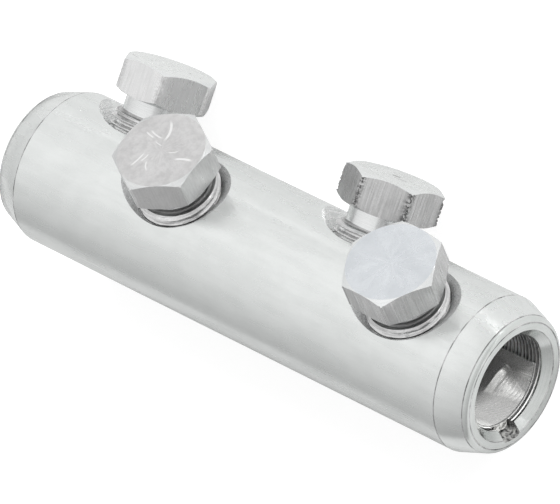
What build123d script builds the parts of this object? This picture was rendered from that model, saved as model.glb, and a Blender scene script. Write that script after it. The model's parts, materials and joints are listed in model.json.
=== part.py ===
import os
from math import asin, atan2, cos, degrees, hypot, radians, sin, tan

from build123d import *

# A shear bolt cable connector: an aluminium tube with a blind bore in each
# end, four hexagon head bolts whose heads shear off at a set torque, and a
# half round insert in each bore that centres thinner conductors.
# Lengths are in millimetres and angles in degrees. X runs along the tube,
# Z is up, and the tube lies on the floor with the heads of its lower bolts.

# Tube
TUBE_RADIUS = 17.0
TUBE_LENGTH = 130.0
TAPER_LENGTH = 6.8
TAPER_DROP = 2.4
END_ROUNDING_SHARE = 0.58
CENTRE_WALL = 8.0
BORE_OVER_SHANK = 1.55
MOUTH_CHAMFER = 1.7

# Insert and the notch that its lug sits in
INSERT_WALL = 0.5
INSERT_GAP = 0.1
INSERT_SETBACK = 3.1
INSERT_END_GAP = 1.0
INSERT_BOLT_GAP = 0.15
LUG_WIDTH = 4.0
LUG_THICKNESS = 1.0
LUG_REACH = 1.8
NOTCH_GAP = 0.5
NOTCH_ROUNDING = 1.2

# Bolt
ACROSS_FLATS = 19.0
HEAD_EDGE = 5.8
HEAD_CHAMFER_ANGLE = 30.0
NECK_STEP = 1.75
NECK_LENGTH = 4.2
NECK_ROUNDING = 0.5
SHANK_RADIUS = 8.95
SHANK_LENGTH = 17.0
SHANK_CHAMFER = 0.7
TIP_LENGTH = 1.5

# Threaded hole
THREAD_GAP = 0.05
SINK_ANGLE = 90.0
SINK_WIDTH = 4.0

# Where each bolt stands. Its row is turned to one side of the middle of the
# insert, and its head is screwed out to its own height over the tube.
END_TO_BOLT = 23.9
BOLT_PITCH = 19.7
ROW_ANGLE = 26.0
STAND_UPPER_RIGHT = 2.2
STAND_UPPER_LEFT = 2.5
STAND_LOWER_RIGHT = 3.8
STAND_LOWER_LEFT = 4.5

# Worked out from the sizes above
HALF_LENGTH = TUBE_LENGTH / 2
BORE_RADIUS = SHANK_RADIUS + BORE_OVER_SHANK
END_FACE_RADIUS = TUBE_RADIUS - TAPER_DROP
END_ROUNDING = END_ROUNDING_SHARE * (END_FACE_RADIUS - BORE_RADIUS - MOUTH_CHAMFER)
OUTER_BOLT = HALF_LENGTH - END_TO_BOLT
INNER_BOLT = OUTER_BOLT - BOLT_PITCH
CORNER_RADIUS = ACROSS_FLATS / 2 / cos(radians(30))
HEAD_CHAMFER = (CORNER_RADIUS - ACROSS_FLATS / 2) * tan(radians(HEAD_CHAMFER_ANGLE))
HEAD_HEIGHT = HEAD_EDGE + 2 * HEAD_CHAMFER
NECK_RADIUS = SHANK_RADIUS - NECK_STEP
HOLE_RADIUS = SHANK_RADIUS + THREAD_GAP
SINK_RADIUS = HOLE_RADIUS + SINK_WIDTH
INSERT_OUTER = BORE_RADIUS - INSERT_GAP
INSERT_INNER = INSERT_OUTER - INSERT_WALL
INSERT_MOUTH = HALF_LENGTH - INSERT_SETBACK
INSERT_LENGTH = INSERT_MOUTH - CENTRE_WALL / 2 - INSERT_END_GAP
# The insert's long edges stop short of the bolts' shanks.
EDGE_FROM_BOLT = degrees(asin((SHANK_RADIUS + INSERT_BOLT_GAP) / INSERT_INNER))
INSERT_HALF_SPAN = 180 - ROW_ANGLE - EDGE_FROM_BOLT
INSERT_RIM = INSERT_INNER * cos(radians(INSERT_HALF_SPAN))
NOTCH_WIDTH = LUG_WIDTH + 2 * NOTCH_GAP
NOTCH_DEPTH = INSERT_SETBACK + LUG_THICKNESS + NOTCH_GAP
NOTCH_RADIUS = INSERT_OUTER + LUG_REACH + NOTCH_GAP

# name: place along the tube, row side, height of the head's underside
# above the tube's axis, turn of the hexagon about the bolt
BOLTS = {
    "bolt_upper_right": (OUTER_BOLT, 1, TUBE_RADIUS + STAND_UPPER_RIGHT, 57.5),
    "bolt_upper_left": (-INNER_BOLT, 1, TUBE_RADIUS + STAND_UPPER_LEFT, 31.0),
    "bolt_lower_right": (INNER_BOLT, -1, TUBE_RADIUS + STAND_LOWER_RIGHT, 27.5),
    "bolt_lower_left": (-OUTER_BOLT, -1, TUBE_RADIUS + STAND_LOWER_LEFT, 61.0),
}


def corner_side(turn):
    """How far the hexagon's furthest corner reaches to the bolt's side."""
    corners = (radians(turn + step * 60) for step in range(6))
    return CORNER_RADIUS * max(sin(corner) for corner in corners)


def floor_tilt(underside, turn):
    """How far a lower bolt points below level when its head meets the floor."""
    corner_height = underside + HEAD_CHAMFER + HEAD_EDGE
    side = corner_side(turn)
    reach = hypot(corner_height, side)
    return degrees(asin(TUBE_RADIUS / reach) - atan2(side, corner_height))


# The first lower head to touch the floor stops the tube from rolling on.
LOWER_TILT = min(
    floor_tilt(underside, turn)
    for place, row, underside, turn in BOLTS.values()
    if row < 0
)
MIDDLE_TILT = ROW_ANGLE - LOWER_TILT


def row_tilt(row):
    """The angle above level at which a row of bolts points."""
    return MIDDLE_TILT + row * ROW_ANGLE


def head_reach(row, underside, turn):
    """How far a head reaches to the side of the tube's axis, on the level."""
    tilt = radians(row_tilt(row))
    top = underside + HEAD_HEIGHT
    corner_top = top - HEAD_CHAMFER
    flat = ACROSS_FLATS / 2
    rim = top * cos(tilt) + flat * abs(sin(tilt))
    corner = corner_top * cos(tilt) + corner_side(turn) * abs(sin(tilt))
    return max(rim, corner)


# The origin is on the floor, midway between the tube's far side and the heads.
HEADS_REACH = max(
    head_reach(row, underside, turn)
    for place, row, underside, turn in BOLTS.values()
)
AXIS_Y = (TUBE_RADIUS - HEADS_REACH) / 2
AXIS_Z = TUBE_RADIUS


def cross_plane(place, tilt):
    """A plane on the tube's axis that faces out at a tilt above level."""
    facing = Vector(0, cos(radians(tilt)), sin(radians(tilt)))
    return Plane(origin=(place, AXIS_Y, AXIS_Z), x_dir=(1, 0, 0), z_dir=facing)


def end_plane(end, place):
    """A plane across the tube that faces out of one end, with its own X
    towards the middle of the insert."""
    middle = radians(MIDDLE_TILT + 180)
    towards = Vector(0, cos(middle), sin(middle))
    return Plane(origin=(end * place, AXIS_Y, AXIS_Z), x_dir=towards, z_dir=(end, 0, 0))


def make_body():
    """The tube: a turned profile, two notches and four threaded holes."""
    along = Plane(origin=(0, AXIS_Y, AXIS_Z), x_dir=(1, 0, 0), z_dir=(0, -1, 0))
    with BuildPart() as body:
        with BuildSketch(along) as half:
            with BuildLine():
                Polyline(
                    (0, 0),
                    (CENTRE_WALL / 2, 0),
                    (CENTRE_WALL / 2, BORE_RADIUS),
                    (HALF_LENGTH - MOUTH_CHAMFER, BORE_RADIUS),
                    (HALF_LENGTH, BORE_RADIUS + MOUTH_CHAMFER),
                    (HALF_LENGTH, END_FACE_RADIUS),
                    (HALF_LENGTH - TAPER_LENGTH, TUBE_RADIUS),
                    (0, TUBE_RADIUS),
                    close=True,
                )
            make_face()
            face_corner = half.vertices().group_by(Axis.X)[-1].sort_by(Axis.Y)[-1]
            fillet(face_corner, radius=END_ROUNDING)
            mirror(about=Plane.YZ)
        revolve(axis=Axis(along.origin, (1, 0, 0)))
        for end in (-1, 1):
            with BuildSketch(end_plane(end, HALF_LENGTH)) as notch:
                with Locations((NOTCH_RADIUS / 2, 0)):
                    Rectangle(NOTCH_RADIUS, NOTCH_WIDTH)
                fillet(notch.vertices().group_by(Axis.X)[-1], radius=NOTCH_ROUNDING)
            extrude(amount=-NOTCH_DEPTH, mode=Mode.SUBTRACT)
        for place, row, underside, turn in BOLTS.values():
            with Locations(cross_plane(place, row_tilt(row)).offset(TUBE_RADIUS)):
                CounterSinkHole(
                    HOLE_RADIUS, SINK_RADIUS, TUBE_RADIUS, counter_sink_angle=SINK_ANGLE
                )
    return body


def make_insert(end):
    """A half round liner with a lug at its mouth end."""
    mouth = end_plane(end, INSERT_MOUTH)
    lug_tip = INSERT_OUTER + LUG_REACH
    lug_root = INSERT_OUTER - INSERT_WALL / 2
    with BuildPart() as insert:
        with BuildSketch(mouth):
            Circle(INSERT_OUTER)
            Circle(INSERT_INNER, mode=Mode.SUBTRACT)
            with Locations((INSERT_OUTER / 2 + INSERT_RIM, 0)):
                Rectangle(INSERT_OUTER, 2 * INSERT_OUTER, mode=Mode.INTERSECT)
        extrude(amount=-INSERT_LENGTH)
        with BuildSketch(mouth):
            with Locations(((lug_root + lug_tip) / 2, 0)):
                Rectangle(lug_tip - lug_root, LUG_WIDTH)
        extrude(amount=-LUG_THICKNESS)
    return insert


def make_bolt(place, row, underside, turn):
    """One bolt: a chamfered hexagon head, a shear neck and a pointed shank."""
    middle = cross_plane(place, row_tilt(row))
    profile = Plane(origin=middle.origin, x_dir=middle.x_dir, z_dir=-middle.y_dir)
    flat = ACROSS_FLATS / 2
    top = underside + HEAD_HEIGHT
    shank_top = underside - NECK_LENGTH
    tip = shank_top - SHANK_LENGTH
    with BuildPart() as bolt:
        with BuildSketch(middle.offset(underside)):
            RegularPolygon(CORNER_RADIUS, 6, rotation=turn)
        extrude(amount=HEAD_HEIGHT)
        with BuildSketch(profile):
            with BuildLine():
                Polyline(
                    (0, underside),
                    (flat, underside),
                    (CORNER_RADIUS, underside + HEAD_CHAMFER),
                    (CORNER_RADIUS, top - HEAD_CHAMFER),
                    (flat, top),
                    (0, top),
                    close=True,
                )
            make_face()
        revolve(axis=Axis(middle.origin, middle.z_dir), mode=Mode.INTERSECT)
        with BuildSketch(profile):
            with BuildLine():
                Polyline(
                    (0, underside),
                    (NECK_RADIUS, underside),
                    (NECK_RADIUS, shank_top),
                    (SHANK_RADIUS - SHANK_CHAMFER, shank_top),
                    (SHANK_RADIUS, shank_top - SHANK_CHAMFER),
                    (SHANK_RADIUS, tip + TIP_LENGTH),
                    (SHANK_RADIUS - TIP_LENGTH, tip),
                    (0, tip),
                    close=True,
                )
            make_face()
        revolve(axis=Axis(middle.origin, middle.z_dir))
        neck = bolt.faces().filter_by(GeomType.CYLINDER).sort_by(SortBy.RADIUS)[0]
        fillet(neck.edges().filter_by(GeomType.CIRCLE), radius=NECK_ROUNDING)
    return bolt


os.makedirs("parts", exist_ok=True)

body = make_body()
body.part.label = "connector_body"
export_step(body.part, "parts/connector_body.step")

for side, end in (("right", 1), ("left", -1)):
    insert = make_insert(end)
    insert.part.label = "insert_" + side
    export_step(insert.part, "parts/insert_" + side + ".step")

for name, seat in BOLTS.items():
    bolt = make_bolt(*seat)
    bolt.part.label = name
    export_step(bolt.part, "parts/" + name + ".step")

print("lower bolts point", round(LOWER_TILT, 3), "degrees below level")
print("tube axis at y", round(AXIS_Y, 3), "and z", AXIS_Z)
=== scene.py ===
import json
from math import ceil, cos, pi, radians, sin, sqrt, tan
from random import Random

import bmesh
import bpy
from mathutils import Matrix, Vector


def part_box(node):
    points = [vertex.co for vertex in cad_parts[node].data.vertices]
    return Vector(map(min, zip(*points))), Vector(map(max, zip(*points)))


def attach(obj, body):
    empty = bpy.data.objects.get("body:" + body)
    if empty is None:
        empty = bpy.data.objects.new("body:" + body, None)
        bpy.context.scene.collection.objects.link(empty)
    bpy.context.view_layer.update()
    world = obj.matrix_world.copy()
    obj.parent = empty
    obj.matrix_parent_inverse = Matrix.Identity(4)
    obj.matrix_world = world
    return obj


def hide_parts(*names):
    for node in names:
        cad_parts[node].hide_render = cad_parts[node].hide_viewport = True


# Looks for the shear bolt cable connector. All lengths are in metres.
MM = 0.001

# The photograph's frame and the lens that matches its perspective
PHOTO_WIDTH = 560
SENSOR_WIDTH = 36.0
FOCAL_PIXELS = 7122.0
CAMERA_DISTANCE = 1463 * MM
CAMERA_CLIP_END = 20.0
CAMERA_LOOK = (-0.566, -0.3596, -0.742)
CAMERA_RIGHT = (0.741, 0.1731, -0.6495)
AIM_ALONG = 1.57 * MM
AIM_UP_IN_PHOTO = 3.96 * MM

# Studio: the sky's strength runs evenly from its dark side to its bright side
SKY_BRIGHT_SIDE = (-0.2, 0.63, 0.75)
SKY_LEVEL = 0.62
SKY_CONTRAST = 0.37
FLOOR_REACH = 4.0
FLOOR_COLOUR = (0.42, 0.42, 0.42)
FLOOR_ROUGHNESS = 0.9
FLOOR_GLOW = 0.7
FLOOR_GLOW_IN_METAL = 0.1
# name: place, target, side and power
LAMPS = {
    "key": ((-0.4, 1.4, 1.0), (0, 0, 0.02), 1.0, 39.0),
    "mouth_fill": ((0.66, 1.03, 0.16), (0.06, -0.006, 0.017), 0.25, 38.0),
}

# The tube's profile, beyond what its CAD box gives
TAPER_LENGTH = 6.8 * MM
TAPER_DROP = 2.4 * MM
END_ROUNDING = 1.4 * MM
END_ROUNDING_STEPS = 6
CREASE_WIDTH = 0.13 * MM
CREASE_DEPTH = 0.09 * MM
CENTRE_WALL = 8.0 * MM
BORE_RADIUS = 10.5 * MM
MOUTH_CHAMFER = 1.7 * MM
GROOVE_PITCH = 0.93 * MM
GROOVE_DEPTH = 0.16 * MM
# Where a groove's first flank and its floor end, as shares of the pitch
GROOVE_FLANK_END = 0.3
GROOVE_FLOOR_END = 0.55
MIDDLE_RINGS = 7
# The radius of the small flat that closes the tube's profile at its axis
TUBE_POLE = 0.0005 * MM
TUBE_SEGMENTS = 256
TUBE_SHARP_ABOVE = 28
ON_ROUND_WITHIN = 0.01 * MM

# The bands of the tube's profile, in the order of its metals
OUTSIDE, BORE, FACE, CREASE, GROOVE = range(5)

# Insert, lug and notch
INSERT_WALL = 0.5 * MM
INSERT_EDGE = INSERT_WALL / 4
INSERT_GAP = 0.1 * MM
INSERT_SETBACK = 3.1 * MM
INSERT_SEGMENTS = 96
INSERT_SHARP_ABOVE = 35
LUG_WIDTH = 4.0 * MM
LUG_THICKNESS = 1.0 * MM
LUG_REACH = 1.8 * MM
LUG_STEPS = 12
LUG_CORNER_DROP = 0.2 * MM
LUG_CORNER_POWER = 4
LUG_EDGE_SLOPE = 0.15 * MM
LUG_EDGE_HEIGHT = 0.1 * MM
# The torn edge's two waves: depth, and angle from step to step
LUG_TEARS = ((0.12 * MM, 2.4), (0.08 * MM, 5.1))
NOTCH_GAP = 0.5 * MM
NOTCH_ROUNDING = 1.2 * MM
NOTCH_ROUNDING_STEPS = 6

# The insert's metals, in the order of its material slots
LINER, LINER_EDGE_SHADE, TORN = range(3)

# Bolts
CORNERS = 6
SIDE_ANGLE = 2 * pi / CORNERS
ACROSS_FLATS = 19.0 * MM
HEAD_EDGE = 5.8 * MM
HEAD_CHAMFER_ANGLE = radians(30)
CORNER_ROUNDING = 0.3 * MM
# Angles in degrees from a hexagon's corner, closest together near it
CORNER_STEPS = (0, 0.3, 0.6, 0.8, 1.6, 3.5, 7, 11, 15, 19, 23, 27)
EDGE_ROWS = 28
NECK_RADIUS = 7.2 * MM
NECK_LENGTH = 4.2 * MM
NECK_ROUNDING = 0.5 * MM
NECK_ROUNDING_STEPS = 5
SHANK_RADIUS = 8.95 * MM
SHANK_LENGTH = 17.0 * MM
SHANK_CHAMFER = 0.7 * MM
TIP_CHAMFER = 1.5 * MM
THREAD_PITCH = 1.5 * MM
THREAD_DEPTH = 0.92 * MM
THREAD_ROWS = 16
# Where a thread's crest ends and its root starts, as shares of the pitch
THREAD_CREST_END = 1 / 16
THREAD_ROOT_START = 6 / 16
# The radius of the small flat in the middle of a bolt's top and tip
BOLT_POLE = 0.3 * MM
BOLT_SHARP_ABOVE = 25
# How each bolt is turned round its axis, in degrees
TURNS = {
    "bolt_upper_right": 57.5,
    "bolt_upper_left": 31.0,
    "bolt_lower_right": 27.5,
    "bolt_lower_left": 61.0,
}

# The bands of a bolt's profile, in the order of its metals
TOP, CHAMFER, FLATS, NECK, SHADED_FOOT, THREAD = range(6)

# Holes: the thread in the wall and the countersink above it
THREADED, SINK = range(2)
THREAD_GAP = 0.06 * MM
HOLE_THREAD_DEPTH = 0.4 * MM
HOLE_SEGMENTS = 96
# How far from the tube's axis a hole's cutter starts, inside the bore
HOLE_FOOT = 9.0 * MM
SINK_RADIUS = 13.0 * MM
CUT_OVERRUN = 2.0 * MM

# Wear on the bolts: nicks in the heads' corners and specks along them. Painted
# shade: the height of the dark band at the neck's foot in each row of bolts
NICK_REACH = 0.5 * MM
NICK_POWER = 3
NICKS = {
    "bolt_upper_right": 0.06 * MM,
    "bolt_upper_left": 0.05 * MM,
    "bolt_lower_right": 0.5 * MM,
    "bolt_lower_left": 0.05 * MM,
}
WEAR_REACH = 0.65 * MM
WORN_COLOUR = (0.08, 0.08, 0.08)
WORN_CHAMFERS = ("bolt_upper_left",)
FOOT_SHADE_HEIGHT = {"upper": 1.0 * MM, "lower": 0.6 * MM}
# Strokes on the heads' tops: x, y, turn, half length, half width and bend in
# millimetres and degrees, and tone
TOP_SCRATCHES = {
    "bolt_upper_left": (
        (-1.5, 4.9, -65, 3.0, 0.38, -0.094, 0.97),
        (-4.8, 2.0, -12, 1.5, 0.25, 0.046, 0.93),
        (-3.6, 2.6, -10, 2.1, 0.25, 0.066, 0.93),
        (-2.9, -4.2, 83, 2.4, 0.27, 0.033, 0.93),
        (-1.8, -3.2, 81, 1.3, 0.21, 0.080, 0.93),
        (-0.3, -4.8, 130, 1.5, 0.21, -0.185, 0.93),
        (5.9, 0.3, 22, 2.3, 0.34, -0.055, 0.97),
        (2.8, 0.7, 35, 1.3, 0.2, 0.128, 0.9),
        (-1.6, 1.0, -8, 1.2, 0.16, 0.119, 0.9),
    ),
    "bolt_lower_right": (
        (-0.6, 0.9, 10, 1.2, 0.9, 0.0, 0.4),
        (1.4, -0.6, 25, 1.8, 0.5, 0.05, 0.55),
    ),
    "bolt_lower_left": ((-5.5, -6.0, -18, 1.6, 0.22, 0.0, 0.3),),
}
# The parts of a stroke's half width and half length that have its full tone
STROKE_CORE = 0.4
STROKE_BODY = 0.5

# Grain of the metals. Scales are per metre, and a spread is the stretch of
# a noise that runs from one tone to the other.
CLOUD_SCALE = 180.0
CLOUD_DETAIL = 6.0
CLOUD_SPREAD = (0.35, 0.65)
CLOUD_SHARE = 0.35
GRAIN_SCALE = 2600.0
GRAIN_DETAIL = 2.0
GRAIN_SPREAD = (0.35, 0.65)
GRAIN_SHARE = 0.15
MARK_DETAIL = 3.0
MARK_SPREAD = (0.32, 0.68)
GLOSS_SPREAD = (0.3, 0.7)
ROUGHEST = 1.25
SMOOTHEST = 0.8
BUMP_DEPTH = 0.1 * MM
SPECK_SCALE = 2200.0
SPECK_DETAIL = 3.0
SPECK_SPREAD = (0.44, 0.52)
TORN_SCALE = 1100.0
TORN_DETAIL = 5.0
TORN_DISTORTION = 0.8
TORN_SPREAD = (0.38, 0.62)
TORN_ROUGHNESS = 0.38
TORN_RELIEF = 0.8
TORN_DEPTH = 0.3 * MM
# The least distance from the axis at which an angle round it is worked out
MARK_POLE = 0.01 * MM

# The Mix node's sockets for colours
MIX_SHARE, MIX_FIRST, MIX_SECOND, MIX_RESULT = 0, 6, 7, 2

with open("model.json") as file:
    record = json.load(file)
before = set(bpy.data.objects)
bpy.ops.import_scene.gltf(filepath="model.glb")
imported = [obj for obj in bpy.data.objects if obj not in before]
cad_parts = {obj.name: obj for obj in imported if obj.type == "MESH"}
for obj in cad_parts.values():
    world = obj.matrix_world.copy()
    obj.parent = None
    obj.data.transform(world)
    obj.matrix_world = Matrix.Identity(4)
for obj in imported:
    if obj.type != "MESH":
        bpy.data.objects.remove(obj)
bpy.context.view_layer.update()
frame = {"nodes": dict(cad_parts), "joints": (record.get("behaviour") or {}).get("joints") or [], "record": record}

# Sizes that follow from the frame and from the sizes above
tube_low, tube_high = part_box("connector_body")
TUBE_RADIUS = (tube_high.z - tube_low.z) / 2
HALF_LENGTH = tube_high.x
AXIS = Vector((0, (tube_low.y + tube_high.y) / 2, (tube_low.z + tube_high.z) / 2))
FLAT_RADIUS = ACROSS_FLATS / 2
CORNER_RADIUS = FLAT_RADIUS / cos(SIDE_ANGLE / 2)
HEAD_CHAMFER = (CORNER_RADIUS - FLAT_RADIUS) * tan(HEAD_CHAMFER_ANGLE)
HEAD_HEIGHT = HEAD_EDGE + 2 * HEAD_CHAMFER
THREAD_ROOT = SHANK_RADIUS - THREAD_DEPTH


# Mesh helpers
def new_object(name, vertices, faces, materials=()):
    mesh = bpy.data.meshes.new(name)
    mesh.from_pydata(vertices, [], faces)
    obj = bpy.data.objects.new(name, mesh)
    bpy.context.scene.collection.objects.link(obj)
    for material in materials:
        mesh.materials.append(material)
    return obj


def rings_to_solid(name, rings, place, materials, bands):
    """A closed solid from rings of equally many points, in its own local frame.

    bands gives each row of faces its material's number."""
    count = len(rings[0])
    vertices = [point for ring in rings for point in ring]
    faces = []
    numbers = []
    for row in range(len(rings) - 1):
        for step in range(count):
            following = (step + 1) % count
            this_ring = row * count
            next_ring = this_ring + count
            faces.append(
                (this_ring + step, this_ring + following, next_ring + following, next_ring + step)
            )
            numbers.append(bands[row])
    faces.append(tuple(reversed(range(count))))
    last = (len(rings) - 1) * count
    faces.append(tuple(range(last, last + count)))
    numbers += [numbers[0], numbers[-1]]
    obj = new_object(name, vertices, faces, materials)
    obj.data.polygons.foreach_set("material_index", numbers)
    obj.matrix_world = place
    outward(obj)
    return obj


def outward(obj):
    """Turns every face outwards."""
    work = bmesh.new()
    work.from_mesh(obj.data)
    bmesh.ops.recalc_face_normals(work, faces=work.faces)
    work.to_mesh(obj.data)
    work.free()


def smooth(obj, sharp_above):
    """Smooth shading with sharp edges above an angle in degrees."""
    obj.data.shade_smooth()
    obj.data.set_sharp_from_angle(angle=radians(sharp_above))


def join(obj, other):
    """Adds a mesh with the same frame and metals to another, as a second shell."""
    work = bmesh.new()
    work.from_mesh(obj.data)
    work.from_mesh(other.data)
    work.to_mesh(obj.data)
    work.free()
    bpy.data.objects.remove(other)


def cut(obj, cutter):
    """Takes one solid away from another, and deletes the cutter."""
    step = obj.modifiers.new("cut", "BOOLEAN")
    step.operation = "DIFFERENCE"
    step.solver = "EXACT"
    step.material_mode = "TRANSFER"
    step.object = cutter
    bpy.context.view_layer.update()
    graph = bpy.context.evaluated_depsgraph_get()
    result = bpy.data.meshes.new_from_object(obj.evaluated_get(graph))
    obj.modifiers.clear()
    obj.data = result
    bpy.data.objects.remove(cutter)


def axis_frame(origin, z_axis, x_axis):
    """The matrix of a local frame with its Z and X along two directions."""
    z_axis = Vector(z_axis).normalized()
    x_axis = Vector(x_axis).normalized()
    y_axis = z_axis.cross(x_axis)
    turned = Matrix((x_axis, y_axis, z_axis)).transposed().to_4x4()
    return Matrix.Translation(origin) @ turned


def circle(radius, height, segments):
    return [
        (
            radius * cos(2 * pi * step / segments),
            radius * sin(2 * pi * step / segments),
            height,
        )
        for step in range(segments)
    ]


def thread_radius(height, angle, crest, root):
    """The radius of a right hand thread at a height and an angle."""
    turn = (height / THREAD_PITCH - angle / (2 * pi)) % 1.0
    from_crest = min(turn, 1.0 - turn)
    fall = (from_crest - THREAD_CREST_END) / (THREAD_ROOT_START - THREAD_CREST_END)
    fall = min(max(fall, 0.0), 1.0)
    return crest - (crest - root) * fall


# Materials
class Wiring:
    """Builds shader arithmetic in a node tree, from sockets and plain numbers."""

    def __init__(self, tree):
        self.nodes = tree.nodes
        self.links = tree.links

    def put(self, value, socket):
        if isinstance(value, bpy.types.NodeSocket):
            self.links.new(value, socket)
        else:
            socket.default_value = value

    def math(self, operation, *values):
        node = self.nodes.new("ShaderNodeMath")
        node.operation = operation
        for value, socket in zip(values, node.inputs):
            self.put(value, socket)
        return node.outputs["Value"]

    def combine(self, *values):
        node = self.nodes.new("ShaderNodeCombineXYZ")
        for value, socket in zip(values, node.inputs):
            self.put(value, socket)
        return node.outputs["Vector"]

    def noise(self, vector, scale, detail, distortion=0.0):
        node = self.nodes.new("ShaderNodeTexNoise")
        self.put(scale, node.inputs["Scale"])
        self.put(detail, node.inputs["Detail"])
        self.put(distortion, node.inputs["Distortion"])
        self.put(vector, node.inputs["Vector"])
        return node.outputs["Fac"]

    def mark_noise(self, vector, w=0.0):
        """Noise at a scale that the vector brings, with a fourth direction."""
        node = self.nodes.new("ShaderNodeTexNoise")
        node.noise_dimensions = "4D"
        self.put(1.0, node.inputs["Scale"])
        self.put(MARK_DETAIL, node.inputs["Detail"])
        self.put(w, node.inputs["W"])
        self.put(vector, node.inputs["Vector"])
        return node.outputs["Fac"]

    def ramp(self, value, low, high, start=0.0, stop=1.0):
        node = self.nodes.new("ShaderNodeMapRange")
        node.interpolation_type = "SMOOTHSTEP"
        self.put(value, node.inputs["Value"])
        self.put(low, node.inputs["From Min"])
        self.put(high, node.inputs["From Max"])
        self.put(start, node.inputs["To Min"])
        self.put(stop, node.inputs["To Max"])
        return node.outputs["Result"]

    def mix(self, share, first, second):
        node = self.nodes.new("ShaderNodeMix")
        node.data_type = "RGBA"
        self.put(share, node.inputs[MIX_SHARE])
        for value, socket in ((first, MIX_FIRST), (second, MIX_SECOND)):
            if isinstance(value, tuple):
                value = (*value, 1.0)
            self.put(value, node.inputs[socket])
        return node.outputs[MIX_RESULT]


class Surface(Wiring):
    """A material, with the place on the piece that its marks follow."""

    def __init__(self, name):
        self.material = bpy.data.materials.new(name)
        self.material.use_nodes = True
        super().__init__(self.material.node_tree)
        self.shader = self.nodes["Principled BSDF"]

    def find_place(self):
        self.place = self.nodes.new("ShaderNodeTexCoord").outputs["Object"]
        split = self.nodes.new("ShaderNodeSeparateXYZ")
        self.put(self.place, split.inputs["Vector"])
        self.x, self.y, self.z = split.outputs

    def find_radius(self):
        x_squared = self.math("POWER", self.x, 2.0)
        y_squared = self.math("POWER", self.y, 2.0)
        self.radius = self.math("SQRT", self.math("ADD", x_squared, y_squared))

    def marks(self, kind, first, second):
        """Fine marks of one kind.

        Marks "along" the piece's Z take a mark's width and length. "rings"
        round its Z take a ring's width, and how much it changes on its way
        round. "rays" from its Z take how close they stand, and a length."""
        if kind == "along":
            vector = self.combine(
                self.math("MULTIPLY", self.x, 1 / first),
                self.math("MULTIPLY", self.y, 1 / first),
                self.math("MULTIPLY", self.z, 1 / second),
            )
            return self.mark_noise(vector)
        safe = self.math("MAXIMUM", self.radius, MARK_POLE)
        cosine = self.math("DIVIDE", self.x, safe)
        sine = self.math("DIVIDE", self.y, safe)
        if kind == "rings":
            vector = self.combine(
                self.math("MULTIPLY", self.radius, 1 / first),
                self.math("MULTIPLY", cosine, second),
                self.math("MULTIPLY", sine, second),
            )
            return self.mark_noise(vector, self.math("MULTIPLY", self.z, 1 / first))
        vector = self.combine(
            self.math("MULTIPLY", cosine, first),
            self.math("MULTIPLY", sine, first),
            self.math("MULTIPLY", self.radius, 1 / second),
        )
        return self.mark_noise(vector)

    def stroke(self, at_x, at_y, turn, half_length, half_width, bend):
        """The share of one bent stroke, given in millimetres and degrees."""
        turn = radians(turn)
        from_x = self.math("SUBTRACT", self.x, at_x * MM)
        from_y = self.math("SUBTRACT", self.y, at_y * MM)
        down_y = self.math("MULTIPLY", from_y, sin(turn))
        down = self.math("MULTIPLY_ADD", from_x, cos(turn), down_y)
        side_y = self.math("MULTIPLY", from_y, cos(turn))
        side = self.math("MULTIPLY_ADD", from_x, -sin(turn), side_y)
        bow = self.math("MULTIPLY", self.math("POWER", down, 2.0), bend / MM)
        off = self.math("ABSOLUTE", self.math("SUBTRACT", side, bow))
        near = self.ramp(off, half_width * STROKE_CORE * MM, half_width * MM, 1.0, 0.0)
        reach = self.math("ABSOLUTE", down)
        within = self.ramp(reach, half_length * STROKE_BODY * MM, half_length * MM, 1.0, 0.0)
        return self.math("MULTIPLY", near, within)

    def corner_specks(self, strength):
        """Dark specks near the hexagon's corners."""
        specks = self.noise(self.place, SPECK_SCALE, SPECK_DETAIL)
        start = CORNER_RADIUS - WEAR_REACH
        corner = self.ramp(self.radius, start, CORNER_RADIUS - WEAR_REACH / 3)
        return self.math("MULTIPLY", corner, self.ramp(specks, *SPECK_SPREAD, 0.0, strength))

    def finish(self, colour, roughness, metallic, height, relief, depth):
        """Wires everything to the shader and returns the material."""
        self.put(colour, self.shader.inputs["Base Color"])
        self.put(roughness, self.shader.inputs["Roughness"])
        self.put(metallic, self.shader.inputs["Metallic"])
        bump = self.nodes.new("ShaderNodeBump")
        self.put(relief, bump.inputs["Strength"])
        self.put(depth, bump.inputs["Distance"])
        self.put(height, bump.inputs["Height"])
        self.put(bump.outputs["Normal"], self.shader.inputs["Normal"])
        return self.material


def metal(name, light, dark, roughness, marks, relief, scratches=(), wear=0.0, metallic=1.0):
    """Metal with fine marks, clouds and grain between a light and a dark tone.

    marks is what Surface.marks takes, and wear darkens a hexagon's corners."""
    surface = Surface(name)
    surface.find_place()
    surface.find_radius()
    height = surface.marks(*marks)
    clouds = surface.noise(surface.place, CLOUD_SCALE, CLOUD_DETAIL)
    grain = surface.noise(surface.place, GRAIN_SCALE, GRAIN_DETAIL)
    share = surface.math("MULTIPLY", surface.ramp(grain, *GRAIN_SPREAD), GRAIN_SHARE)
    cloudy = surface.ramp(clouds, *CLOUD_SPREAD)
    share = surface.math("MULTIPLY_ADD", cloudy, CLOUD_SHARE, share)
    marked = surface.ramp(height, *MARK_SPREAD)
    share = surface.math("MULTIPLY_ADD", marked, 1 - CLOUD_SHARE - GRAIN_SHARE, share)
    colour = surface.mix(share, dark, light)
    for *stroke, tone in scratches:
        colour = surface.mix(surface.stroke(*stroke), colour, grey(tone))
    if wear:
        colour = surface.mix(surface.corner_specks(wear), colour, WORN_COLOUR)
    gloss = surface.ramp(height, *GLOSS_SPREAD, roughness * ROUGHEST, roughness * SMOOTHEST)
    return surface.finish(colour, gloss, metallic, height, relief, BUMP_DEPTH)


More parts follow.
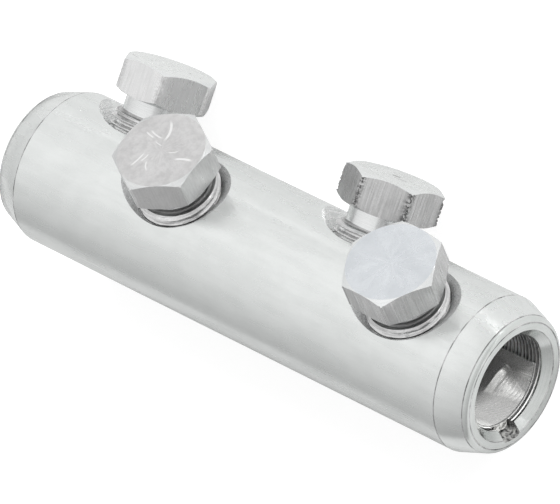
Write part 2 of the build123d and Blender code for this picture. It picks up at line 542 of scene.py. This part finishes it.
def torn_metal(name, light, dark, metallic):
    """Rough sheared metal with dark cracks."""
    surface = Surface(name)
    surface.find_place()
    cracks = surface.noise(surface.place, TORN_SCALE, TORN_DETAIL, TORN_DISTORTION)
    colour = surface.mix(surface.ramp(cracks, *TORN_SPREAD), dark, light)
    return surface.finish(colour, TORN_ROUGHNESS, metallic, cracks, TORN_RELIEF, TORN_DEPTH)


def grey(tone):
    return (tone, tone, tone)


# The tube's metals, and those of the cuts in it
tube_metal = metal(
    "tinned_tube", light=(0.87, 0.89, 0.88), dark=(0.79, 0.81, 0.80), roughness=0.24,
    marks=("along", 2.5 * MM, 14 * MM), relief=0.02,
)
face_metal = metal(
    "turned_face", light=(0.83, 0.85, 0.84), dark=(0.70, 0.73, 0.71), roughness=0.2,
    marks=("rings", 0.25 * MM, 1.5), relief=0.05,
)
# The fine creases mix down to near black: painted shade along the creases, on top of the shading that their
# grooves give
crease_painted_shade = metal(
    "crease", light=grey(0.9), dark=grey(0.05), roughness=0.35,
    marks=("rings", 1.0 * MM, 5.0), relief=0.05,
)
bore_metal = metal(
    "grooved_bore", light=(0.97, 0.97, 0.96), dark=(0.86, 0.86, 0.85), roughness=0.3,
    marks=("rings", 0.3 * MM, 2.0), relief=0.05, metallic=0.4,
)
# Painted shade on the grooves' first flank and floor
groove_painted_shade = metal(
    "groove_shade", light=grey(0.2), dark=grey(0.03), roughness=0.3,
    marks=("rings", 0.3 * MM, 4.0), relief=0.05,
)
hole_metal = metal(
    "cut_thread", light=(0.70, 0.71, 0.71), dark=grey(0.38), roughness=0.2,
    marks=("rings", 0.3 * MM, 2.0), relief=0.08,
)
# The countersinks are one machined surface: the upper row's darker base is painted shade and the lower row's
# lighter base is painted light
LIT_AND_SHADED_CONES = {
    "upper": metal(
        "upper_cone_painted_shade", light=(0.72, 0.73, 0.73), dark=grey(0.36), roughness=0.3,
        marks=("rings", 0.25 * MM, 3.0), relief=0.1, metallic=0.6,
    ),
    "lower": metal(
        "lower_cone_painted_light", light=(0.92, 0.93, 0.92), dark=(0.7, 0.71, 0.71), roughness=0.28,
        marks=("rings", 0.35 * MM, 2.0), relief=0.1, metallic=0.5,
    ),
}
# The notch's walls: torn metal with darker tones than the lug's, partly its own cracks and partly painted shade in
# the slot
notch_painted_shade = torn_metal("notch_wall_shade", (0.55, 0.55, 0.54), grey(0.08), 0.75)

# The insert's metals
insert_metal = metal(
    "polished_insert", light=(0.95, 0.95, 0.94), dark=(0.88, 0.88, 0.87), roughness=0.03,
    marks=("along", 0.6 * MM, 9 * MM), relief=0.01, metallic=0.78,
)
# A near black edge at the insert's mouth: painted shade for the gap between the insert and the bore
insert_edge_painted_shade = metal(
    "insert_edge_painted_shade", light=grey(0.2), dark=grey(0.08), roughness=0.3,
    marks=("rings", 0.2 * MM, 3.0), relief=0.05,
)
sheared_metal = torn_metal("sheared_edge", (0.8, 0.8, 0.78), (0.22, 0.22, 0.21), 0.6)

# The bolts' metals
thread_metal = metal(
    "bolt_thread", light=grey(0.95), dark=grey(0.45), roughness=0.17,
    marks=("rings", 0.3 * MM, 1.0), relief=0.5,
)
neck_metal = metal(
    "bolt_neck", light=(0.9, 0.91, 0.91), dark=(0.8, 0.81, 0.81), roughness=0.22,
    marks=("rings", 0.2 * MM, 1.0), relief=0.03,
)
# Painted shade under the heads: a dark metal for the neck's foot and the shank's top, darker in the upper row than
# in the lower row
FOOT_SHADE_METALS = {
    "upper": metal(
        "upper_foot_painted_shade", light=grey(0.34), dark=grey(0.12), roughness=0.35,
        marks=("rings", 0.2 * MM, 2.0), relief=0.05,
    ),
    "lower": metal(
        "lower_foot_painted_shade", light=grey(0.6), dark=grey(0.25), roughness=0.3,
        marks=("rings", 0.2 * MM, 2.0), relief=0.05,
    ),
}
chamfer_metal = metal(
    "bolt_chamfer", light=(0.92, 0.93, 0.93), dark=(0.82, 0.84, 0.84), roughness=0.2,
    marks=("rings", 0.2 * MM, 1.5), relief=0.03,
)
worn_chamfer = metal(
    "worn_chamfer", light=(0.86, 0.87, 0.87), dark=(0.70, 0.71, 0.71), roughness=0.3,
    marks=("rings", 0.3 * MM, 1.5), relief=0.05,
)
FLAT_METALS = {
    "bolt_upper_right": metal(
        "bolt_upper_right_flats", light=grey(0.77), dark=grey(0.52), roughness=0.3,
        marks=("along", 0.32 * MM, 9 * MM), relief=0.1,
    ),
    "bolt_upper_left": metal(
        "bolt_upper_left_flats", light=grey(0.80), dark=grey(0.66), roughness=0.34,
        marks=("along", 0.4 * MM, 3 * MM), relief=0.06,
    ),
    "bolt_lower_right": metal(
        "bolt_lower_right_flats", light=grey(0.70), dark=grey(0.45), roughness=0.3,
        marks=("along", 0.3 * MM, 9 * MM), relief=0.1, wear=0.85,
    ),
    "bolt_lower_left": metal(
        "bolt_lower_left_flats", light=grey(0.88), dark=grey(0.76), roughness=0.3,
        marks=("along", 0.4 * MM, 5 * MM), relief=0.04, wear=0.2,
    ),
}
TOP_METALS = {
    "bolt_upper_right": metal(
        "bolt_upper_right_top", light=(0.82, 0.85, 0.88), dark=(0.70, 0.73, 0.76), roughness=0.26,
        marks=("rays", 2.3, 6 * MM), relief=0.08,
    ),
    "bolt_upper_left": metal(
        "bolt_upper_left_top", light=(0.77, 0.765, 0.765), dark=(0.62, 0.615, 0.615), roughness=0.36,
        marks=("rays", 6.0, 1.2 * MM), relief=0.1, scratches=TOP_SCRATCHES["bolt_upper_left"],
    ),
    # The lower row's tops have a lighter base than the upper row's: painted light on top of their own finish
    "bolt_lower_right": metal(
        "bolt_lower_right_top", light=(0.90, 0.92, 0.91), dark=(0.78, 0.80, 0.79), roughness=0.24,
        marks=("rings", 0.6 * MM, 1.5), relief=0.06, scratches=TOP_SCRATCHES["bolt_lower_right"],
    ),
    "bolt_lower_left": metal(
        "bolt_lower_left_top", light=(0.92, 0.94, 0.93), dark=(0.84, 0.86, 0.85), roughness=0.24,
        marks=("rings", 0.8 * MM, 1.2), relief=0.05, scratches=TOP_SCRATCHES["bolt_lower_left"],
    ),
}


# The tube
def bore_profile():
    """Points (along, radius, band) of the right bore, from the centre wall to
    the mouth. A point's band is that of the row which follows it."""
    start = CENTRE_WALL / 2
    stop = HALF_LENGTH - MOUTH_CHAMFER
    grooves = int((stop - start) / GROOVE_PITCH) - 1
    first = stop - (grooves + 0.5) * GROOVE_PITCH
    deep = BORE_RADIUS + GROOVE_DEPTH
    points = [(start, TUBE_POLE, BORE), (start, BORE_RADIUS, BORE)]
    for groove in range(grooves):
        foot = first + groove * GROOVE_PITCH
        points.append((foot, BORE_RADIUS, GROOVE))
        points.append((foot + GROOVE_PITCH * GROOVE_FLANK_END, deep, GROOVE))
        points.append((foot + GROOVE_PITCH * GROOVE_FLOOR_END, deep, BORE))
    points.append((first + grooves * GROOVE_PITCH, BORE_RADIUS, FACE))
    points.append((stop, BORE_RADIUS, FACE))
    rim = BORE_RADIUS + MOUTH_CHAMFER
    points.append((HALF_LENGTH - CREASE_WIDTH, rim - CREASE_WIDTH, CREASE))
    points.append((HALF_LENGTH, rim, FACE))
    return points


def outer_profile():
    """Points (along, radius, band) from the end face's outer edge to the
    round outside, with a fine crease at each edge of the taper."""
    slope = Vector((-TAPER_LENGTH, TAPER_DROP)).normalized()
    corner = Vector((HALF_LENGTH, TUBE_RADIUS - TAPER_DROP))
    turn = slope.angle(Vector((0, 1)))
    reach = END_ROUNDING * tan(turn / 2)
    centre = corner + Vector((-END_ROUNDING, -reach))
    points = []
    for step in range(END_ROUNDING_STEPS + 1):
        angle = turn * step / END_ROUNDING_STEPS
        point = centre + END_ROUNDING * Vector((cos(angle), sin(angle)))
        band = CREASE if step in (0, END_ROUNDING_STEPS) else FACE
        points.append((point.x, point.y, band))
    middle = point + slope * CREASE_WIDTH
    end = point + slope * 2 * CREASE_WIDTH
    points.append((middle.x, middle.y - CREASE_DEPTH, CREASE))
    points.append((end.x, end.y, OUTSIDE))
    crease = Vector((HALF_LENGTH - TAPER_LENGTH, TUBE_RADIUS))
    before = crease - slope * CREASE_WIDTH
    points.append((before.x, before.y, CREASE))
    points.append((crease.x, crease.y - CREASE_DEPTH, CREASE))
    points.append((crease.x - CREASE_WIDTH, TUBE_RADIUS, OUTSIDE))
    return points


def make_tube():
    half = bore_profile() + outer_profile()
    right = [(along, radius) for along, radius, band in half]
    left = [(-along, radius) for along, radius in reversed(right)]
    reach = right[-1][0]
    middle = []
    for ring in range(MIDDLE_RINGS):
        share = 1 - 2 * (ring + 1) / (MIDDLE_RINGS + 1)
        middle.append((reach * share, TUBE_RADIUS))
    profile = right + middle + left
    half_bands = [band for along, radius, band in half[:-1]]
    bands = half_bands + [OUTSIDE] * (len(middle) + 1) + list(reversed(half_bands))
    rings = [circle(radius, along, TUBE_SEGMENTS) for along, radius in profile]
    place = axis_frame(AXIS, (1, 0, 0), (0, 1, 0))
    metals = (tube_metal, bore_metal, face_metal, crease_painted_shade, groove_painted_shade)
    tube = rings_to_solid("tube", rings, place, metals, bands)
    for facts in bolts.values():
        cut(tube, hole_cutter(facts))
    for end in (-1, 1):
        cut(tube, notch_cutter(end))
    smooth(tube, TUBE_SHARP_ABOVE)
    true_normals(tube)
    return tube


def hole_cutter(facts):
    """The countersink and the threaded hole below it. The hole's thread stays
    just clear of the bolt's, which slides past it without turning."""
    inner = SHANK_RADIUS + THREAD_GAP
    sink_foot = TUBE_RADIUS - (SINK_RADIUS - inner)
    rows = ceil((sink_foot - HOLE_FOOT) / THREAD_PITCH * THREAD_ROWS)
    rings = []
    for row in range(rows + 1):
        height = HOLE_FOOT + (sink_foot - HOLE_FOOT) * row / rows
        run_out = min((sink_foot - height) / THREAD_PITCH, 1.0)
        outer = inner + HOLE_THREAD_DEPTH * run_out
        ring = []
        for step in range(HOLE_SEGMENTS):
            angle = 2 * pi * step / HOLE_SEGMENTS
            radius = thread_radius(height, angle, outer, inner)
            ring.append((radius * cos(angle), radius * sin(angle), height))
        rings.append(ring)
    rings.append(circle(SINK_RADIUS, TUBE_RADIUS, HOLE_SEGMENTS))
    rings.append(circle(SINK_RADIUS + CUT_OVERRUN, TUBE_RADIUS + CUT_OVERRUN, HOLE_SEGMENTS))
    metals = (hole_metal, LIT_AND_SHADED_CONES[facts["row"]])
    bands = [THREADED] * rows + [SINK] * 2
    return rings_to_solid("cutter", rings, facts["place"], metals, bands)


def notch_cutter(end):
    """The slot for the insert's lug, open to the bore and to the end face."""
    half = LUG_WIDTH / 2 + NOTCH_GAP
    reach = BORE_RADIUS - INSERT_GAP + LUG_REACH + NOTCH_GAP
    depth = INSERT_SETBACK + LUG_THICKNESS + NOTCH_GAP
    outline = [(0.0, -half)]
    for side in (-1, 1):
        for step in range(NOTCH_ROUNDING_STEPS + 1):
            angle = pi / 2 * step / NOTCH_ROUNDING_STEPS
            if side > 0:
                angle = pi / 2 - angle
            out = reach - NOTCH_ROUNDING + NOTCH_ROUNDING * sin(angle)
            across = half - NOTCH_ROUNDING + NOTCH_ROUNDING * cos(angle)
            outline.append((out, side * across))
    outline.append((0.0, half))
    bottom = [(x, y, HALF_LENGTH - depth) for x, y in outline]
    top = [(x, y, HALF_LENGTH + CUT_OVERRUN) for x, y in outline]
    return rings_to_solid("cutter", [bottom, top], end_frame(end), (notch_painted_shade,), [0])


def end_frame(end):
    """Z out of one end of the tube, and X towards the middle of the insert."""
    return axis_frame(AXIS, (end, 0, 0), -row_middle)


def true_normals(tube):
    """Gives the round outside its exact normals, so that the cuts leave no ripple."""
    mesh = tube.data
    crease = HALF_LENGTH - TAPER_LENGTH - CREASE_WIDTH
    normals = [Vector(corner.vector) for corner in mesh.corner_normals]
    for polygon in mesh.polygons:
        around = []
        for index in polygon.vertices:
            point = mesh.vertices[index].co.copy()
            along = point.z
            point.z = 0
            on_round = abs(point.length - TUBE_RADIUS) < ON_ROUND_WITHIN
            if not on_round or abs(along) > crease + ON_ROUND_WITHIN:
                break
            around.append(point.normalized())
        else:
            for loop, normal in zip(polygon.loop_indices, around):
                normals[loop] = normal
    mesh.normals_split_custom_set(normals)


# The insert
def make_insert(name, end):
    """The half round liner, as wide as its CAD node, with its lug."""
    low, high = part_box(name)
    length = high.x - low.x
    outer = BORE_RADIUS - INSERT_GAP
    inner = outer - INSERT_WALL
    mouth = HALF_LENGTH - INSERT_SETBACK
    place = end_frame(end)
    to_place = place.inverted()
    rim = min((to_place @ vertex.co).x for vertex in frame["nodes"][name].data.vertices)
    half_span = pi / 2 - rim / inner
    section = [
        (inner, 0.0),
        (inner, length - INSERT_EDGE),
        (inner + INSERT_EDGE, length),
        (outer - INSERT_EDGE, length),
        (outer, length - INSERT_EDGE),
        (outer, 0.0),
    ]
    rings = []
    for step in range(INSERT_SEGMENTS + 1):
        angle = half_span * (2 * step / INSERT_SEGMENTS - 1)
        rings.append(
            [
                (radius * cos(angle), radius * sin(angle), mouth - length + along)
                for radius, along in section
            ]
        )
    metals = (insert_metal, insert_edge_painted_shade, sheared_metal)
    insert = rings_to_solid(name + "_liner", rings, place, metals, [LINER] * INSERT_SEGMENTS)
    # The sloping faces at the mouth take the edge's painted shade
    for polygon in insert.data.polygons:
        heights = [insert.data.vertices[index].co.z for index in polygon.vertices]
        at_mouth = min(heights) > mouth - INSERT_WALL
        sloping = max(heights) - min(heights) > INSERT_EDGE / 10
        if at_mouth and sloping:
            polygon.material_index = LINER_EDGE_SHADE
    join(insert, make_lug(place, outer, mouth, metals))
    smooth(insert, INSERT_SHARP_ABOVE)
    return insert


def make_lug(place, outer, mouth, metals):
    """The bent tab, with the torn edge that shearing it out of the sheet leaves."""
    root = outer - INSERT_WALL / 2
    tip = outer + LUG_REACH
    deep_tear, fine_tear = LUG_TEARS
    rings = []
    for step in range(LUG_STEPS + 1):
        across = LUG_WIDTH * (step / LUG_STEPS - 0.5)
        to_corner = (2 * step / LUG_STEPS - 1) ** LUG_CORNER_POWER
        torn = deep_tear[0] * sin(step * deep_tear[1])
        torn += fine_tear[0] * sin(step * fine_tear[1] + 1)
        reach = tip - LUG_CORNER_DROP * to_corner + min(torn, 0)
        rings.append(
            [
                (root, across, mouth - LUG_THICKNESS),
                (reach, across, mouth - LUG_THICKNESS),
                (reach - LUG_EDGE_SLOPE, across, mouth - LUG_EDGE_HEIGHT),
                (root, across, mouth),
            ]
        )
    return rings_to_solid("lug", rings, place, metals, [TORN] * LUG_STEPS)


# The bolts
class Lathe:
    """Rings round a bolt's axis from the top down, at fixed angles, each with
    the band of the row that follows it."""

    def __init__(self, angles):
        self.angles = angles
        self.rings = []
        self.bands = []

    def add(self, radii, heights, band):
        self.rings.append(
            [
                (radius * cos(angle), radius * sin(angle), height)
                for radius, height, angle in zip(radii, heights, self.angles)
            ]
        )
        self.bands.append(band)

    def add_round(self, radius, height, band):
        self.add([radius] * len(self.angles), [height] * len(self.angles), band)


def hexagon_radius(angle):
    """The radius of the round cornered hexagon, at an angle from a corner."""
    off = (angle + SIDE_ANGLE / 2) % SIDE_ANGLE - SIDE_ANGLE / 2
    corner_centre = (FLAT_RADIUS - CORNER_ROUNDING) / cos(SIDE_ANGLE / 2)
    sharp = FLAT_RADIUS / cos(SIDE_ANGLE / 2 - abs(off))
    side = corner_centre * sin(off)
    if abs(side) < CORNER_ROUNDING:
        rounded = corner_centre * cos(off) + sqrt(CORNER_ROUNDING**2 - side**2)
        return min(sharp, rounded)
    return sharp


def bolt_angles(turn):
    """Angles round a bolt, closest together at the hexagon's corners."""
    side = [radians(step) for step in CORNER_STEPS]
    side += [SIDE_ANGLE / 2] + [SIDE_ANGLE - step for step in reversed(side[1:])]
    return [turn + corner * SIDE_ANGLE + step for corner in range(CORNERS) for step in side]


def turn_head(lathe, name, turn, top, underside):
    """The hexagon with a chamfer above and below, and nicks along its corners."""
    corners = [hexagon_radius(angle - turn) for angle in lathe.angles]
    dice = Random(name)
    slope = tan(HEAD_CHAMFER_ANGLE)
    upper = [top - (corner - FLAT_RADIUS) * slope for corner in corners]
    lower = [underside + (corner - FLAT_RADIUS) * slope for corner in corners]
    lathe.add_round(BOLT_POLE, top, TOP)
    lathe.add_round(FLAT_RADIUS, top, CHAMFER)
    for row in range(EDGE_ROWS + 1):
        share = row / EDGE_ROWS
        heights = [high + (low - high) * share for high, low in zip(upper, lower)]
        bites = [NICKS[name] * dice.random() ** NICK_POWER for corner in range(CORNERS)]
        radii = []
        for angle, corner in zip(lathe.angles, corners):
            number = round((angle - turn) / SIDE_ANGLE) % CORNERS
            worn = 0.0
            if 0 < row < EDGE_ROWS and corner > CORNER_RADIUS - NICK_REACH:
                worn = bites[number] * (corner - CORNER_RADIUS + NICK_REACH) / NICK_REACH
            radii.append(corner - worn)
        lathe.add(radii, heights, FLATS if row < EDGE_ROWS else CHAMFER)
    lathe.add_round(FLAT_RADIUS, underside, NECK)


def turn_neck(lathe, underside, shank_top, foot_shade_height):
    """The shear neck with a rounding at each end, with painted shade towards its foot."""
    for step in range(NECK_ROUNDING_STEPS + 1):
        angle = pi / 2 * step / NECK_ROUNDING_STEPS
        radius = NECK_RADIUS + NECK_ROUNDING * (1 - sin(angle))
        lathe.add_round(radius, underside - NECK_ROUNDING * (1 - cos(angle)), NECK)
    lathe.add_round(NECK_RADIUS, shank_top + foot_shade_height, SHADED_FOOT)
    for step in range(NECK_ROUNDING_STEPS + 1):
        angle = pi / 2 * step / NECK_ROUNDING_STEPS
        radius = NECK_RADIUS + NECK_ROUNDING * (1 - cos(angle))
        lathe.add_round(radius, shank_top + NECK_ROUNDING * (1 - sin(angle)), SHADED_FOOT)


def turn_thread(lathe, shank_top):
    """The threaded shank, chamfered at its top and at its flat tip."""
    tip = shank_top - SHANK_LENGTH
    rows = ceil(SHANK_LENGTH / THREAD_PITCH * THREAD_ROWS)
    for row in range(rows + 1):
        height = shank_top - SHANK_LENGTH * row / rows
        limit = SHANK_RADIUS - SHANK_CHAMFER + (shank_top - height)
        limit = min(limit, SHANK_RADIUS - TIP_CHAMFER + (height - tip))
        radii = [
            min(thread_radius(height, angle, SHANK_RADIUS, THREAD_ROOT), limit)
            for angle in lathe.angles
        ]
        lathe.add(radii, [height] * len(radii), THREAD)
    lathe.add_round(BOLT_POLE, tip, THREAD)


def make_bolt(name, facts):
    underside = facts["top"] - HEAD_HEIGHT
    shank_top = underside - NECK_LENGTH
    turn = radians(TURNS[name])
    lathe = Lathe(bolt_angles(turn))
    turn_head(lathe, name, turn, facts["top"], underside)
    turn_neck(lathe, underside, shank_top, FOOT_SHADE_HEIGHT[facts["row"]])
    turn_thread(lathe, shank_top)
    metals = (
        TOP_METALS[name],
        worn_chamfer if name in WORN_CHAMFERS else chamfer_metal,
        FLAT_METALS[name],
        neck_metal,
        FOOT_SHADE_METALS[facts["row"]],
        thread_metal,
    )
    bolt = rings_to_solid(name + "_threaded", lathe.rings, facts["place"], metals, lathe.bands)
    smooth(bolt, BOLT_SHARP_ABOVE)
    return bolt


# Where each bolt stands, from the joints and the CAD nodes
bolts = {}
for joint in frame["joints"]:
    for name in frame["record"]["behaviour"]["bodies"][joint["child"]]:
        direction = Vector(joint["axis"]).normalized()
        low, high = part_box(name)
        middle = Vector(((low.x + high.x) / 2, AXIS.y, AXIS.z))
        node_vertices = frame["nodes"][name].data.vertices
        bolts[name] = {
            "place": axis_frame(middle, direction, (1, 0, 0)),
            "top": max((vertex.co - AXIS).dot(direction) for vertex in node_vertices),
            "body": joint["child"],
            "row": name.split("_")[1],
            "direction": direction,
        }

# The direction half way between the two rows of bolts
row_middle = Vector((0, 0, 0))
for facts in bolts.values():
    row_middle += facts["direction"]
row_middle.normalize()

tube = make_tube()
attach(tube, "connector")
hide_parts("connector_body")
for name, end in (("insert_right", 1), ("insert_left", -1)):
    insert = make_insert(name, end)
    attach(insert, "connector")
    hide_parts(name)
for name, facts in bolts.items():
    bolt = make_bolt(name, facts)
    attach(bolt, facts["body"])
    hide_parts(name)


# Stage
def make_floor():
    """A pale floor that goes white to the camera but keeps its shadow."""
    reach = FLOOR_REACH
    corners = [(-reach, -reach, 0), (reach, -reach, 0), (reach, reach, 0), (-reach, reach, 0)]
    surface = Surface("pale_floor")
    surface.put((*FLOOR_COLOUR, 1.0), surface.shader.inputs["Base Color"])
    surface.put(FLOOR_ROUGHNESS, surface.shader.inputs["Roughness"])
    surface.put(0.0, surface.shader.inputs["Specular IOR Level"])
    path = surface.nodes.new("ShaderNodeLightPath")
    to_metal = surface.math("MULTIPLY", path.outputs["Is Glossy Ray"], FLOOR_GLOW_IN_METAL)
    glow = surface.math("MULTIPLY_ADD", path.outputs["Is Camera Ray"], FLOOR_GLOW, to_metal)
    surface.put((1.0, 1.0, 1.0, 1.0), surface.shader.inputs["Emission Color"])
    surface.put(glow, surface.shader.inputs["Emission Strength"])
    floor = new_object("floor", corners, [(0, 1, 2, 3)], (surface.material,))


def make_world():
    """A soft studio sky, brightest on the side that the bolts point to."""
    world = bpy.data.worlds.new("studio")
    bpy.context.scene.world = world
    world.use_nodes = True
    sky = Wiring(world.node_tree)
    background = sky.nodes["Background"]
    sky.put((1.0, 1.0, 1.0, 1.0), background.inputs["Color"])
    facing = sky.nodes.new("ShaderNodeVectorMath")
    facing.operation = "DOT_PRODUCT"
    sky.put(Vector(SKY_BRIGHT_SIDE).normalized(), facing.inputs[1])
    sky.put(sky.nodes.new("ShaderNodeTexCoord").outputs["Generated"], facing.inputs[0])
    level = sky.math("MULTIPLY_ADD", facing.outputs["Value"], SKY_CONTRAST, SKY_LEVEL)
    sky.put(level, background.inputs["Strength"])


def add_lamp(name, place, target, side, power):
    """A square lamp that the metal doesn't mirror."""
    lamp = bpy.data.lights.new(name, "AREA")
    lamp.shape = "SQUARE"
    lamp.size = side
    lamp.energy = power
    obj = bpy.data.objects.new(name, lamp)
    obj.location = place
    obj.visible_glossy = False
    obj.rotation_euler = (Vector(target) - Vector(place)).to_track_quat("-Z", "Y").to_euler()
    bpy.context.scene.collection.objects.link(obj)


def make_camera():
    look = Vector(CAMERA_LOOK).normalized()
    right = Vector(CAMERA_RIGHT)
    right = (right - look * right.dot(look)).normalized()
    up = right.cross(look)
    aim = AXIS + Vector((AIM_ALONG, 0, 0)) + up * AIM_UP_IN_PHOTO
    data = bpy.data.cameras.new("photo_camera")
    data.sensor_fit = "HORIZONTAL"
    data.sensor_width = SENSOR_WIDTH
    data.lens = FOCAL_PIXELS / PHOTO_WIDTH * SENSOR_WIDTH
    data.clip_end = CAMERA_CLIP_END
    camera = bpy.data.objects.new("photo_camera", data)
    turned = Matrix((right, up, -look)).transposed().to_4x4()
    camera.matrix_world = Matrix.Translation(aim - look * CAMERA_DISTANCE) @ turned
    bpy.context.scene.collection.objects.link(camera)
    bpy.context.scene.camera = camera


make_floor()
make_world()
for name, facts in LAMPS.items():
    add_lamp(name, *facts)
make_camera()
bpy.context.scene.view_settings.view_transform = "Standard"
